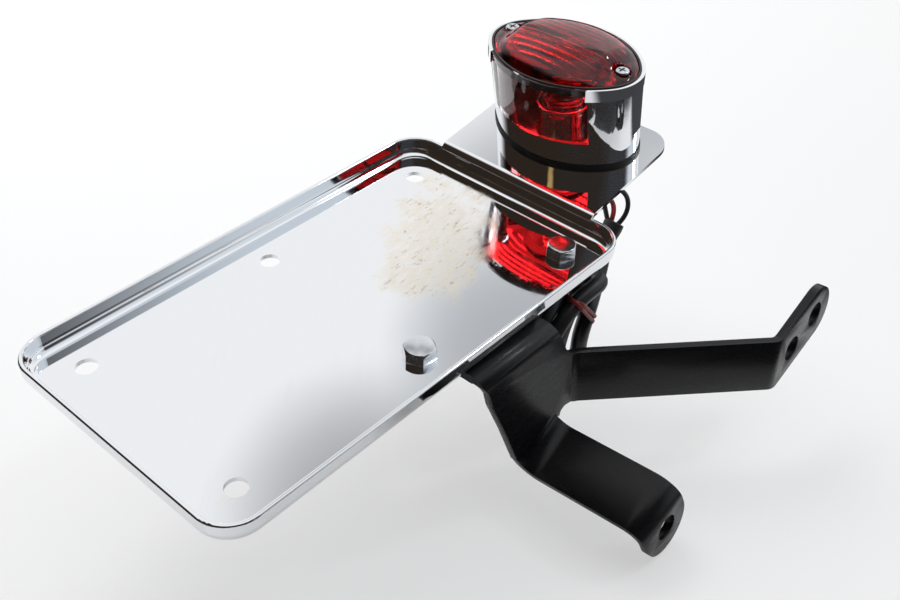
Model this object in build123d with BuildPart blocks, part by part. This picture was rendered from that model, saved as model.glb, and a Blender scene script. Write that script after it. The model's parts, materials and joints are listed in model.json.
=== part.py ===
from build123d import *

from math import atan2, cos, degrees, hypot, radians, sin, tan
import os

os.makedirs("parts", exist_ok=True)

# Side mount number plate holder with a tail lamp, in millimetres.
# The origin is the centre of the lower frame hole, on the bracket's face that meets the motorbike.
# X runs along the plate towards the lamp, Y away from the motorbike and Z out of the plate's face.

# Plate tray
tray_length = 180.0
tray_width = 103.0
rim_height = 6.6
sheet = 1.5
tray_corner_radius = 12.0
tray_fold_radius = 3.0
rim_edge_radius = 0.6
plate_hole_diameter = 7.2
plate_hole_end_inset = 17.0
plate_hole_side_inset = 16.5
plate_hole_pitch_x = tray_length / 2 - plate_hole_end_inset
plate_hole_pitch_y = tray_width - 2 * plate_hole_side_inset

# Lamp shelf, which the tray's end wall folds out into
shelf_width = 71.0
shelf_length = 53.7
shelf_tilt = 9.6
shelf_fold_height = 7.5
shelf_fold_radius = 3.5
shelf_corner_radius = 10.0

# Bracket
plate = 3.0
web_gap = 6.0
web_lean = 5.0
flange_bar_width = 24.0
flange_fold_radius = 5.0
neck_left = 5.0
neck_right = 41.7
arm_width = 21.6
frame_reach = 48.5
frame_hole_diameter = 9.4
upper_arm_start = 52.0
upper_arm_turn = 42.5
upper_arm_top = 17.2
upper_arm_sag = 4.0
upper_fold_radius = 5.0
upper_end_rise = 21.0
upper_hole_x = 132.3
upper_hole_down = 25.0
upper_hole_pitch = 16.8
lower_arm_tilt = 23.0
lower_hole_x = 38.5
lower_hole_down = 57.8
lower_hole_drop = 12.6
lower_root_radius = 6.5
lower_end_radius = 9.0

# Bolts through the tray and bracket
bolt_diameter = 6.0
bolt_head_flats = 10.0
bolt_head_height = 4.0
bolt_face_radius = 4.7
bolt_head_turns = (-5.4, 32.1)
washer_diameter = 12.0
washer_thickness = 1.6
nut_height = 5.0
bolt_spare = 3.0
hole_clearance = 0.4
slip = 0.05

# Tail lamp: its foot, its slanted lens seat and its walls
lamp_place = 35.6
lamp_shift = 2.3
foot_eye = (31.0, 21.0, 38.0)
lens_eye = (29.6, 21.9, 33.3)
lens_height = 34.4
lens_slope = 6.3
foot_gasket = 1.5
lamp_floor = 2.0
lamp_wall = 2.0
seat_width = 2.4
seat_depth = 3.0
bezel_wall = 0.95
bezel_height = 4.5
bezel_step = 0.4
window_half_width = 21.5
window_sill = 11.5
window_clearance = 0.1

# Lens, its gasket and its screws
lens_flange = 2.0
lens_wall = 2.0
lens_gasket = 0.85
dome_steps = (
    (1.0, 1.0, 0.0),
    (0.96, 0.945, 1.6),
    (0.87, 0.82, 3.4),
    (0.75, 0.62, 5.0),
    (0.62, 0.36, 6.0),
    (0.52, 0.16, 6.4),
)
lens_screw_place = 24.8
lens_screw_diameter = 3.0
lens_screw_head = 5.4
lens_screw_head_height = 2.0
lens_screw_length = 12.0
lens_pocket = 3.1
lens_pocket_wall = 0.8
lens_post = 2.7

# Inside the lamp
reflector_height = 8.0
reflector_sheet = 1.0
socket_radius = 8.0
socket_top = 17.0
bulb_radius = 7.2
bulb_top = 31.0

# Lamp studs through the shelf
stud_place = 18.4
stud_diameter = 5.0
stud_below = 8.0
stud_boss = 4.0
stud_washer_diameter = 11.0
stud_washer_thickness = 1.0
stud_nut_flats = 8.0
stud_nut_height = 4.0

# Leads and their sleeve
grommet_radius = 4.5
grommet_flange_radius = 6.5
grommet_flange = 1.3
lead_diameter = 1.8
sleeve_diameter = 6.0
collar_diameter = 7.6
collar_length = 7.0
hank_width = 18.0
hank_depth = 12.0
hank_height = 40.0
hank_corner = 5.0
tie_width = 2.4
tie_thickness = 1.0

# Place of the tray floor's centre, seen from the lower frame hole
flange_top = -sheet
web_y = -(tray_width / 2 + web_gap)
lean_cos = cos(radians(web_lean))
lean_sin = sin(radians(web_lean))
reach_x = lower_hole_x
reach_y = lean_cos * frame_reach + lean_sin * lower_hole_down - web_y
drop = lean_cos * lower_hole_down - lean_sin * frame_reach - flange_top
print(f"tray centre {-reach_x:.3f} {reach_y:.3f} {drop:.3f}")

# Frames: the tray floor, the bracket's leaning web and the lamp's foot
tray = Plane(origin=(-reach_x, reach_y, drop))
wall_x = tray_length / 2 - sheet
bolt_y = -plate_hole_pitch_y / 2
shelf_cos = cos(radians(shelf_tilt))
shelf_sin = sin(radians(shelf_tilt))

grommet_place = (-9.0, -8.0)
stud_places = ((0, stud_place), (0, -stud_place))
bolt_places = ((0, bolt_y), (plate_hole_pitch_x, bolt_y))
upper_holes = (
    (upper_hole_x, -upper_hole_down),
    (
        upper_hole_x - upper_hole_pitch * cos(radians(upper_end_rise)),
        -upper_hole_down - upper_hole_pitch * sin(radians(upper_end_rise)),
    ),
)


def at_tray(x, y, z):
    """Give the place of a point that is measured from the tray floor's centre."""
    return (x - reach_x, y + reach_y, z + drop)


web_front = Plane(origin=at_tray(0, web_y, flange_top), x_dir=(1, 0, 0), z_dir=(0, -lean_cos, lean_sin))
web_down = (0, -lean_sin, -lean_cos)
end_front = web_front.offset(frame_reach)
lamp = Plane(
    origin=at_tray(wall_x + lamp_place * shelf_cos, lamp_shift, shelf_fold_height + lamp_place * shelf_sin),
    x_dir=(shelf_cos, 0, shelf_sin),
    z_dir=(-shelf_sin, 0, shelf_cos),
)
foot = lamp.offset(foot_gasket)
lens_seat = lamp.offset(lens_height).rotated((0, lens_slope, 0))


def eye_outline(eye, grow=0.0):
    """Draw the lamp's closed outline: two long side arcs joined by two round tips.

    eye holds half the length, half the width and the radius of the sides; grow offsets it outwards.
    """
    half_length, half_width, side_radius = (size + grow for size in eye)
    side_centre = side_radius - half_width
    rest = half_length**2 + side_centre**2 - side_radius**2
    tip_radius = rest / (2 * (half_length - side_radius))
    tip_centre = half_length - tip_radius
    half_turn = degrees(atan2(tip_centre, side_centre))
    CenterArc((side_centre, 0), side_radius, 180 - half_turn, 2 * half_turn)
    CenterArc((0, -tip_centre), tip_radius, 180 + half_turn, 180 - 2 * half_turn)
    CenterArc((-side_centre, 0), side_radius, -half_turn, 2 * half_turn)
    CenterArc((0, tip_centre), tip_radius, half_turn, 180 - 2 * half_turn)


def keep(part, name):
    """Label a finished piece and write it to its own file."""
    part.label = name
    export_step(part, f"parts/{name}.step")


# Plate tray and lamp shelf, one pressed sheet
plate_holes = ((-1, -1), (-1, 1), (0, 1), (1, 1))
with BuildPart() as plate_tray:
    with BuildSketch(tray.offset(-sheet)):
        RectangleRounded(tray_length, tray_width, tray_corner_radius)
    extrude(amount=sheet + rim_height)
    fillet(plate_tray.faces().sort_by(Axis.Z)[0].edges(), tray_fold_radius + sheet)
    offset(amount=-sheet, openings=plate_tray.faces().sort_by(Axis.Z)[-1])
    fillet(plate_tray.faces().sort_by(Axis.Z)[-1].edges(), rim_edge_radius)
    # The end wall stops below the shelf's fold
    fold_start = shelf_fold_height - shelf_fold_radius
    with BuildSketch(tray.offset(fold_start)):
        with Locations((wall_x + sheet / 2, 0)):
            Rectangle(2 * sheet, shelf_width)
    extrude(amount=rim_height, mode=Mode.SUBTRACT)
    with BuildSketch(Plane(origin=at_tray(0, -shelf_width / 2, 0), x_dir=(1, 0, 0), z_dir=(0, -1, 0))):
        with BuildLine():
            FilletPolyline(
                (wall_x, fold_start - sheet / 2),
                (wall_x, shelf_fold_height),
                (wall_x + shelf_length * shelf_cos, shelf_fold_height + shelf_length * shelf_sin),
                radius=shelf_fold_radius,
            )
            offset(amount=sheet, side=Side.RIGHT)
        make_face()
    extrude(amount=-shelf_width)
    shelf_corners = plate_tray.edges().filter_by(Axis(lamp.origin, lamp.z_dir))
    fillet(shelf_corners.sort_by(Axis.X)[-2:], shelf_corner_radius)
    with BuildSketch(tray):
        with Locations(*[(i * plate_hole_pitch_x, j * plate_hole_pitch_y / 2) for i, j in plate_holes]):
            Circle(plate_hole_diameter / 2)
        with Locations(*bolt_places):
            Circle(bolt_diameter / 2 + hole_clearance)
    extrude(amount=-sheet, mode=Mode.SUBTRACT)
    with BuildSketch(lamp):
        with Locations(grommet_place):
            Circle(grommet_radius)
        with Locations(*stud_places):
            Circle(stud_diameter / 2 + hole_clearance)
    extrude(amount=-sheet, mode=Mode.SUBTRACT)
keep(plate_tray.part, "plate_tray")

# Bracket web, folded down from the flange
with BuildPart() as web:
    with BuildSketch(Plane(origin=web_front.origin, x_dir=(0, 1, 0), z_dir=(1, 0, 0))):
        with BuildLine():
            FilletPolyline(
                (2 * flange_fold_radius, 0),
                (0, 0),
                (-lean_sin * 3 * arm_width, -lean_cos * 3 * arm_width),
                radius=flange_fold_radius,
            )
            offset(amount=plate, side=Side.LEFT)
        make_face()
    extrude(amount=2 * neck_right)
    with BuildSketch(web_front):
        with BuildLine():
            Polyline(
                (neck_left, flange_fold_radius),
                (neck_left, -2.0),
                (7.4, -6.5),
                (8.6, -12.0),
                (14.4, -26.5),
                (20.9, -44.7),
                (40.9, -36.2),
                (42.1, -39.3),
                (44.1, -40.1),
                (44.3, -39.1),
                (44.9, -38.2),
                (46.0, -37.6),
                (47.4, -37.3),
                (49.0, -37.4),
                (50.4, -(upper_arm_top + arm_width - 0.8)),
                (upper_arm_start, -(upper_arm_top + arm_width)),
                (upper_arm_start, -upper_arm_top),
                (50.0, -upper_arm_top + 0.6),
                (47.0, -12.5),
                (43.2, -4.0),
                (neck_right, 0),
                (neck_right, flange_fold_radius),
                close=True,
            )
        make_face()
    extrude(amount=-3 * flange_fold_radius, both=True, mode=Mode.INTERSECT)

# Upper arm: an upright strip that leaves the web at an angle, with its end turned to the frame
upper_corner = upper_arm_start + frame_reach / tan(radians(upper_arm_turn))
upper_bottom = upper_arm_top + arm_width
rise_x = cos(radians(upper_end_rise))
rise_z = sin(radians(upper_end_rise))
with BuildPart() as upper_arm:
    with BuildSketch(Plane(origin=web_front.origin, x_dir=(1, 0, 0), z_dir=web_down)):
        with BuildLine():
            FilletPolyline(
                (upper_arm_start - upper_fold_radius, 0),
                (upper_arm_start, 0),
                (upper_corner, frame_reach),
                (upper_hole_x + arm_width, frame_reach),
                radius=upper_fold_radius,
            )
            offset(amount=plate, side=Side.RIGHT)
        make_face()
    extrude(amount=3 * arm_width)
    with BuildSketch(web_front):
        with BuildLine():
            Polyline(
                (0, -upper_arm_top),
                (upper_arm_start, -upper_arm_top),
                (upper_corner + plate, -upper_arm_top - upper_arm_sag),
                (upper_hole_x - arm_width / 2 * rise_z, -upper_hole_down + arm_width / 2 * rise_x),
                (upper_hole_x + arm_width / 2 * rise_z, -upper_hole_down - arm_width / 2 * rise_x),
                (upper_corner + plate, -upper_bottom - upper_arm_sag),
                (upper_arm_start, -upper_bottom),
                (50.4, -upper_bottom + 0.8),
                (upper_arm_start - upper_fold_radius, -upper_bottom + 1.5),
                (0, -upper_bottom + 1.5),
                close=True,
            )
        make_face()
        with Locations((upper_hole_x, -upper_hole_down)):
            Circle(arm_width / 2)
    extrude(amount=frame_reach + plate, both=True, mode=Mode.INTERSECT)
    with BuildSketch(end_front):
        with Locations(*upper_holes):
            Circle(frame_hole_diameter / 2)
    extrude(amount=-2 * plate, both=True, mode=Mode.SUBTRACT)

# Lower arm: a flat strip that leaves the web's foot and turns down at the frame
tilt_cos = cos(radians(lower_arm_tilt))
tilt_sin = sin(radians(lower_arm_tilt))
across = (tilt_cos, tilt_sin * lean_sin, tilt_sin * lean_cos)
outward = (0, -lean_cos, lean_sin)
with BuildPart() as lower_arm:
    with BuildSketch(Plane(origin=(0, 0, 0), x_dir=outward, z_dir=across)):
        with BuildLine():
            FilletPolyline(
                (-frame_reach, -lower_hole_drop - arm_width / 2),
                (-frame_reach, -lower_hole_drop),
                (0, -lower_hole_drop),
                (0, arm_width / 2),
                radius=(lower_root_radius, lower_end_radius),
            )
            offset(amount=plate, side=Side.LEFT)
        make_face()
    extrude(amount=arm_width / 2, both=True)
    tip_edges = lower_arm.edges().filter_by(Axis((0, 0, 0), outward)).sort_by(Axis.Z)
    fillet(tip_edges[:2], arm_width / 2 - slip)
    with BuildSketch(end_front):
        with Locations((lower_hole_x, -lower_hole_down)):
            Circle(frame_hole_diameter / 2)
    extrude(amount=-2 * plate, both=True, mode=Mode.SUBTRACT)

with BuildPart() as mounting_bracket:
    with BuildSketch(tray.offset(flange_top - plate)):
        with Locations((plate_hole_pitch_x / 2, bolt_y)):
            SlotCenterToCenter(plate_hole_pitch_x, flange_bar_width)
        neck_end = web_y + flange_fold_radius
        with Locations(((neck_left + neck_right) / 2, (bolt_y + neck_end) / 2)):
            Rectangle(neck_right - neck_left, bolt_y - neck_end)
    extrude(amount=plate)
    add(web.part)
    add(upper_arm.part)
    add(lower_arm.part)
    with BuildSketch(tray.offset(flange_top)):
        with Locations(*bolt_places):
            Circle(bolt_diameter / 2 + hole_clearance)
    extrude(amount=-plate, mode=Mode.SUBTRACT)
keep(mounting_bracket.part, "mounting_bracket")

# Bolts, washers and nuts that hold the tray on the bracket
head_radius = bolt_head_flats / 2 / cos(radians(30))
nut_top = flange_top - plate - washer_thickness
blank_radius = head_radius + 4 * slip
with BuildPart() as head_blanks:
    with BuildSketch(tray):
        with Locations(*bolt_places):
            Circle(blank_radius)
    extrude(amount=bolt_head_height)
    chamfer(head_blanks.edges().group_by(Axis.Z)[-1], blank_radius - bolt_face_radius)
with BuildPart() as bracket_bolts:
    for place, turn in zip(bolt_places, bolt_head_turns):
        with BuildSketch(tray):
            with Locations(place):
                RegularPolygon(head_radius, 6, rotation=turn)
        extrude(amount=bolt_head_height)
    add(head_blanks.part, mode=Mode.INTERSECT)
    with BuildSketch(tray):
        with Locations(*bolt_places):
            Circle(bolt_diameter / 2)
    extrude(amount=nut_top - nut_height - bolt_spare)
keep(bracket_bolts.part, "bracket_bolts")

with BuildPart() as bolt_washers:
    with BuildSketch(tray.offset(nut_top)):
        with Locations(*bolt_places):
            Circle(washer_diameter / 2)
            Circle(bolt_diameter / 2 + hole_clearance, mode=Mode.SUBTRACT)
    extrude(amount=washer_thickness)
keep(bolt_washers.part, "bolt_washers")

with BuildPart() as bolt_nuts:
    with BuildSketch(tray.offset(nut_top)):
        with Locations(*bolt_places):
            RegularPolygon(head_radius, 6)
            Circle(bolt_diameter / 2 + slip, mode=Mode.SUBTRACT)
    extrude(amount=-nut_height)
keep(bolt_nuts.part, "bolt_nuts")

# Lamp foot gasket
with BuildPart() as lamp_base_gasket:
    with BuildSketch(lamp):
        with BuildLine():
            eye_outline(foot_eye, 0.4)
        make_face()
        with Locations(grommet_place):
            Circle(grommet_radius, mode=Mode.SUBTRACT)
        with Locations(*stud_places):
            Circle(stud_diameter / 2 + hole_clearance, mode=Mode.SUBTRACT)
    extrude(amount=foot_gasket)
keep(lamp_base_gasket.part, "lamp_base_gasket")

# Lamp shell without its bezel, used for the housing and for the window let into it
rim_wall = lens_gasket + bezel_wall
with BuildPart() as lamp_shell:
    with BuildSketch(foot):
        with BuildLine():
            eye_outline(foot_eye)
        make_face()
    with BuildSketch(lens_seat):
        with BuildLine():
            eye_outline(lens_eye, rim_wall)
        make_face()
    loft(ruled=True)
    with BuildSketch(foot.offset(lamp_floor)):
        with BuildLine():
            eye_outline(foot_eye, -lamp_wall)
        make_face()
    with BuildSketch(lens_seat.offset(slip)):
        with BuildLine():
            eye_outline(lens_eye, -seat_width)
        make_face()
    loft(ruled=True, mode=Mode.SUBTRACT)
    with BuildSketch(lens_seat.offset(-seat_depth)):
        with BuildLine():
            eye_outline(lens_eye, lens_gasket)
        make_face()
    extrude(amount=2 * seat_depth, mode=Mode.SUBTRACT)

window_depth = lens_eye[1] / 2
with BuildPart() as window_block:
    with BuildSketch(lamp.offset(window_sill)):
        with Locations((-lens_eye[1] - 1, 0)):
            Rectangle(2 * window_depth, 2 * window_half_width)
    extrude(amount=lens_height)

with BuildPart() as plate_light_window:
    with BuildSketch(lamp.offset(window_sill + window_clearance)):
        with Locations((-lens_eye[1] - 1 - window_clearance, 0)):
            Rectangle(2 * window_depth, 2 * (window_half_width - window_clearance))
    extrude(amount=lens_height)
    add(lamp_shell.part, mode=Mode.INTERSECT)
keep(plate_light_window.part, "plate_light_window")

with BuildPart() as lamp_housing:
    add(lamp_shell.part)
    with BuildSketch(lens_seat.offset(-bezel_height)):
        with BuildLine():
            eye_outline(lens_eye, rim_wall + bezel_step)
        make_face()
        with BuildLine():
            eye_outline(lens_eye, rim_wall - bezel_wall / 2)
        make_face(mode=Mode.SUBTRACT)
    extrude(amount=bezel_height)
    add(window_block.part, mode=Mode.SUBTRACT)
    # Posts that the lens screws run into
    with BuildSketch(lens_seat.offset(-lens_flange)):
        with Locations((0, lens_screw_place), (0, -lens_screw_place)):
            Circle(lens_post)
    extrude(amount=-(lens_height - lens_flange - foot_gasket - lamp_floor / 2 - 1.4))
    with BuildSketch(lens_seat.offset(-lens_flange)):
        with Locations((0, lens_screw_place), (0, -lens_screw_place)):
            Circle(lens_screw_diameter / 2 + slip)
    extrude(amount=-lens_screw_length - 1.0, mode=Mode.SUBTRACT)
    with BuildSketch(foot):
        with Locations(grommet_place):
            Circle(grommet_radius)
        with Locations(*stud_places):
            Circle(stud_diameter / 2 + hole_clearance)
    extrude(amount=lamp_floor, mode=Mode.SUBTRACT)
keep(lamp_housing.part, "lamp_housing")

# Lens gasket: a flat ring on the ledge and a thin lip round the lens
gasket_base = seat_depth - lens_flange
with BuildPart() as lens_ring:
    with BuildSketch(lens_seat.offset(-seat_depth)):
        with BuildLine():
            eye_outline(lens_eye, lens_gasket - slip)
        make_face()
        with BuildLine():
            eye_outline(lens_eye, -1.6)
        make_face(mode=Mode.SUBTRACT)
    extrude(amount=gasket_base)
    with BuildSketch(lens_seat.offset(-lens_flange)):
        with BuildLine():
            eye_outline(lens_eye, lens_gasket - slip)
        make_face()
        with BuildLine():
            eye_outline(lens_eye, slip)
        make_face(mode=Mode.SUBTRACT)
    extrude(amount=lens_flange + 0.4)
keep(lens_ring.part, "lens_gasket")


def dome_outline(half_length, half_width):
    """Draw one level of the lens dome, with the same roundness at every size."""
    eye_outline((half_length, half_width, 1.076 * (half_length**2 + half_width**2) / (2 * half_width)))


with BuildPart() as lens_hollow:
    for length_share, width_share, height in dome_steps:
        level = lens_seat.offset(height - lens_flange if height == 0 else height - 0.85 * lens_wall)
        with BuildSketch(level):
            with BuildLine():
                dome_outline((lens_eye[0] - lens_wall) * length_share, (lens_eye[1] - lens_wall) * width_share)
            make_face()
    loft(ruled=True)

with BuildPart() as lens_dome:
    for length_share, width_share, height in dome_steps:
        with BuildSketch(lens_seat.offset(height)):
            with BuildLine():
                dome_outline(lens_eye[0] * length_share, lens_eye[1] * width_share)
            make_face()
    loft(ruled=True)
    with BuildSketch(lens_seat):
        with BuildLine():
            dome_outline(lens_eye[0], lens_eye[1])
        make_face()
    extrude(amount=-lens_flange)

pocket_floor = 0.4
with BuildPart() as lens_posts:
    with BuildSketch(lens_seat.offset(-lens_flange)):
        with Locations((0, lens_screw_place), (0, -lens_screw_place)):
            Circle(lens_pocket + lens_pocket_wall)
    extrude(amount=3 * lens_flange)
    add(lens_dome.part, mode=Mode.INTERSECT)

with BuildPart() as lamp_lens:
    add(lens_dome.part)
    add(lens_hollow.part, mode=Mode.SUBTRACT)
    add(lens_posts.part)
    with BuildSketch(lens_seat.offset(pocket_floor)):
        with Locations((0, lens_screw_place), (0, -lens_screw_place)):
            Circle(lens_pocket)
    extrude(amount=4 * lens_flange, mode=Mode.SUBTRACT)
    with BuildSketch(lens_seat.offset(pocket_floor)):
        with Locations((0, lens_screw_place), (0, -lens_screw_place)):
            Circle(lens_screw_diameter / 2 + hole_clearance / 2)
    extrude(amount=-2 * lens_flange, mode=Mode.SUBTRACT)
keep(lamp_lens.part, "lamp_lens")

with BuildPart() as lens_screws:
    with BuildSketch(lens_seat.offset(pocket_floor)):
        with Locations((0, lens_screw_place), (0, -lens_screw_place)):
            Circle(lens_screw_head / 2)
    extrude(amount=lens_screw_head_height)
    fillet(lens_screws.edges().group_by(Axis(lens_seat.origin, lens_seat.z_dir))[-1], 0.8)
    with BuildSketch(lens_seat.offset(pocket_floor)):
        with Locations((0, lens_screw_place), (0, -lens_screw_place)):
            Circle(lens_screw_diameter / 2)
    extrude(amount=-lens_screw_length)
    with BuildSketch(lens_seat.offset(pocket_floor + lens_screw_head_height)):
        with Locations((0, lens_screw_place), (0, -lens_screw_place)):
            Rectangle(3.2, 0.7)
            Rectangle(0.7, 3.2)
    extrude(amount=-1.1, mode=Mode.SUBTRACT)
keep(lens_screws.part, "lens_screws")

# Bulb socket on the lamp's floor, with a foot that carries the reflector
floor_top = foot_gasket + lamp_floor
with BuildPart() as bulb_socket:
    with BuildSketch(lamp.offset(floor_top)):
        Circle(socket_radius + 2.0)
    extrude(amount=reflector_height - floor_top)
    with BuildSketch(lamp.offset(reflector_height)):
        Circle(socket_radius)
    extrude(amount=socket_top - reflector_height)
    with BuildSketch(lamp.offset(socket_top)):
        Circle(socket_radius - 2.0)
    extrude(amount=-8.0, mode=Mode.SUBTRACT)
keep(bulb_socket.part, "bulb_socket")

with BuildPart() as lamp_reflector:
    with BuildSketch(lamp.offset(reflector_height)):
        with BuildLine():
            eye_outline(foot_eye, -lamp_wall - 1.9)
        make_face()
        Circle(socket_radius + slip, mode=Mode.SUBTRACT)
    extrude(amount=reflector_sheet)
    with BuildSketch(lens_seat):
        with Locations((0, lens_screw_place), (0, -lens_screw_place)):
            Circle(lens_post + 0.6)
    extrude(amount=-lens_height, mode=Mode.SUBTRACT)
keep(lamp_reflector.part, "lamp_reflector")

bulb_base = socket_radius - 2.0 - slip
with BuildPart() as bulb:
    with BuildSketch(Plane(origin=lamp.origin, x_dir=lamp.x_dir, z_dir=-lamp.y_dir)):
        with BuildLine():
            Polyline((0, bulb_top), (0, socket_top - 8.0), (bulb_base, socket_top - 8.0), (bulb_base, socket_top + 1.0))
            Spline(
                (bulb_base, socket_top + 1.0),
                (bulb_radius, bulb_top - bulb_radius),
                (0, bulb_top),
                tangents=((0.3, 1), (-1, 0)),
            )
        make_face()
    revolve(axis=Axis(lamp.origin, lamp.z_dir))
keep(bulb.part, "bulb")

# Studs that hold the lamp on its shelf
with BuildPart() as lamp_studs:
    with BuildSketch(lamp.offset(floor_top)):
        with Locations(*stud_places):
            Circle(stud_boss)
    extrude(amount=2.5)
    with BuildSketch(lamp.offset(floor_top)):
        with Locations(*stud_places):
            Circle(stud_diameter / 2)
    extrude(amount=-floor_top - stud_below)
keep(lamp_studs.part, "lamp_studs")

with BuildPart() as stud_washers:
    with BuildSketch(lamp.offset(-sheet)):
        with Locations(*stud_places):
            Circle(stud_washer_diameter / 2)
            Circle(stud_diameter / 2 + hole_clearance, mode=Mode.SUBTRACT)
    extrude(amount=-stud_washer_thickness)
keep(stud_washers.part, "stud_washers")

with BuildPart() as stud_nuts:
    with BuildSketch(lamp.offset(-sheet - stud_washer_thickness)):
        with Locations(*stud_places):
            RegularPolygon(stud_nut_flats / 2 / cos(radians(30)), 6)
            Circle(stud_diameter / 2 + slip, mode=Mode.SUBTRACT)
    extrude(amount=-stud_nut_height)
keep(stud_nuts.part, "stud_nuts")

# Grommet in the shelf, which the leads leave through
lead_exit = lamp.offset(-sheet - grommet_flange)
with BuildPart() as wire_grommet:
    with BuildSketch(lead_exit):
        with Locations(grommet_place):
            Circle(grommet_flange_radius)
    extrude(amount=grommet_flange)
    with BuildSketch(lamp.offset(-sheet)):
        with Locations(grommet_place):
            Circle(grommet_radius - slip)
    extrude(amount=sheet + floor_top)
keep(wire_grommet.part, "wire_grommet")

# Leads, from the grommet round into the mouth of their sleeve
mouth_at = Vector(102.0, -38.4, -2.0)
mouth_way = Vector(-0.353, -0.300, -0.888).normalized()
mouth = Plane(
    origin=at_tray(mouth_at.X, mouth_at.Y, mouth_at.Z),
    x_dir=Vector(-mouth_way.Z, 0, mouth_way.X),
    z_dir=mouth_way,
)


def corner_radii(points, share=0.45):
    """Give each corner of a route the radius that uses this share of its shorter run."""
    places = [Vector(*point) for point in points]
    radii = []
    for before, here, after in zip(places, places[1:], places[2:]):
        turn = (here - before).get_angle(after - here)
        run = min((here - before).length, (after - here).length)
        radii.append(share * run / tan(radians(turn / 2)))
    return radii


def print_route(name, points, diameter):
    """Print a cord's runs, turns and corner radii."""
    places = [Vector(*point) for point in points]
    runs = [round((b - a).length, 1) for a, b in zip(places, places[1:])]
    turns = [round((b - a).get_angle(c - b), 1) for a, b, c in zip(places, places[1:], places[2:])]
    radii = [round(radius, 1) for radius in corner_radii(points)]
    print(name, "diameter", diameter, "runs", runs, "turns", turns, "radii", radii, "length", round(sum(runs), 1))


lead_circle = 1.5
lead_spread = 1.8
lead_shapes = {"lead_red": (150, -0.5), "lead_black_long": (30, 1.8), "lead_black_short": (270, 0.0)}


def lead_route(angle, bulge):
    """Give a lead's corner points, at this angle in the bundle; bulge moves its middle corners along X."""
    turn = radians(angle)
    away = (grommet_place[0] + 1.8 * cos(turn), grommet_place[1] + 1.8 * sin(turn))
    aside = lead_spread * cos(turn) + bulge
    under = lead_spread * sin(turn)
    start = lead_exit.from_local_coords((away[0], away[1], 0))
    drop_point = lead_exit.from_local_coords((away[0], away[1], -10.5))
    middle = [(113.0, -17.0, -4.4), (109.4, -25.0, 5.6)]
    middle = [Vector(*at_tray(x + aside, y, z - under)) for x, y, z in middle]
    end = mouth.from_local_coords((lead_circle * cos(turn), -lead_circle * sin(turn), 0))
    last = mouth.from_local_coords((lead_circle * cos(turn), -lead_circle * sin(turn), -11.0))
    return [start, drop_point, *middle, last, end]


for lead_name, (lead_angle, lead_bulge) in lead_shapes.items():
    route = [tuple(point) for point in lead_route(lead_angle, lead_bulge)]
    print_route(lead_name, route, lead_diameter)
    with BuildPart() as lead:
        with BuildLine() as lead_path:
            FilletPolyline(*route, radius=corner_radii(route))
        with BuildSketch(lead_path.line ^ 0):
            Circle(lead_diameter / 2)
        sweep()
    keep(lead.part, lead_name)

# Sleeve, its collar and the folded length that hangs behind the tray
sleeve_route = [
    at_tray(*mouth_at),
    at_tray(*(mouth_at + 22 * mouth_way)),
    at_tray(69.8, -47.5, -27.0),
]
print_route("cable_sleeve", sleeve_route, sleeve_diameter)
with BuildPart() as cable_sleeve:
    with BuildLine() as sleeve_path:
        FilletPolyline(*sleeve_route, radius=corner_radii(sleeve_route))
    with BuildSketch(sleeve_path.line ^ 0):
        Circle(sleeve_diameter / 2)
    sweep()
keep(cable_sleeve.part, "cable_sleeve")

with BuildPart() as sleeve_collar:
    with BuildSketch(mouth):
        Circle(collar_diameter / 2)
        Circle(sleeve_diameter / 2, mode=Mode.SUBTRACT)
    extrude(amount=collar_length)
keep(sleeve_collar.part, "sleeve_collar")

hank_at = (62.5, -48.0, -49.0)
with BuildPart() as sleeve_hank:
    with BuildSketch(Plane(origin=at_tray(*hank_at))):
        RectangleRounded(hank_width, hank_depth, hank_corner)
    extrude(amount=hank_height)
    fillet(sleeve_hank.edges().group_by(Axis.Z)[0], 4.0)
    fillet(sleeve_hank.edges().group_by(Axis.Z)[-1], 4.0)
keep(sleeve_hank.part, "sleeve_hank")

with BuildPart() as hank_tie:
    with BuildSketch(Plane(origin=at_tray(hank_at[0], hank_at[1], hank_at[2] + 33.0))):
        RectangleRounded(hank_width + 2 * tie_thickness, hank_depth + 2 * tie_thickness, hank_corner + tie_thickness)
        RectangleRounded(hank_width, hank_depth, hank_corner, mode=Mode.SUBTRACT)
    extrude(amount=tie_width)
keep(hank_tie.part, "hank_tie")
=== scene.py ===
"""A side mount number plate holder with a tail lamp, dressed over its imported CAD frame.

Every length is in metres in the frame of the CAD model: the origin is the lower frame hole, X runs
along the tray towards the lamp, Y away from the motorbike and Z out of the plate's face. Sizes in
the classes are written in millimetres and are turned into metres where a mesh is made.
"""

from __future__ import annotations

import json
import logging
import math
from dataclasses import dataclass, field
from enum import Enum

import bmesh
import bpy
import numpy as np
from mathutils import Matrix, Vector

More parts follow.
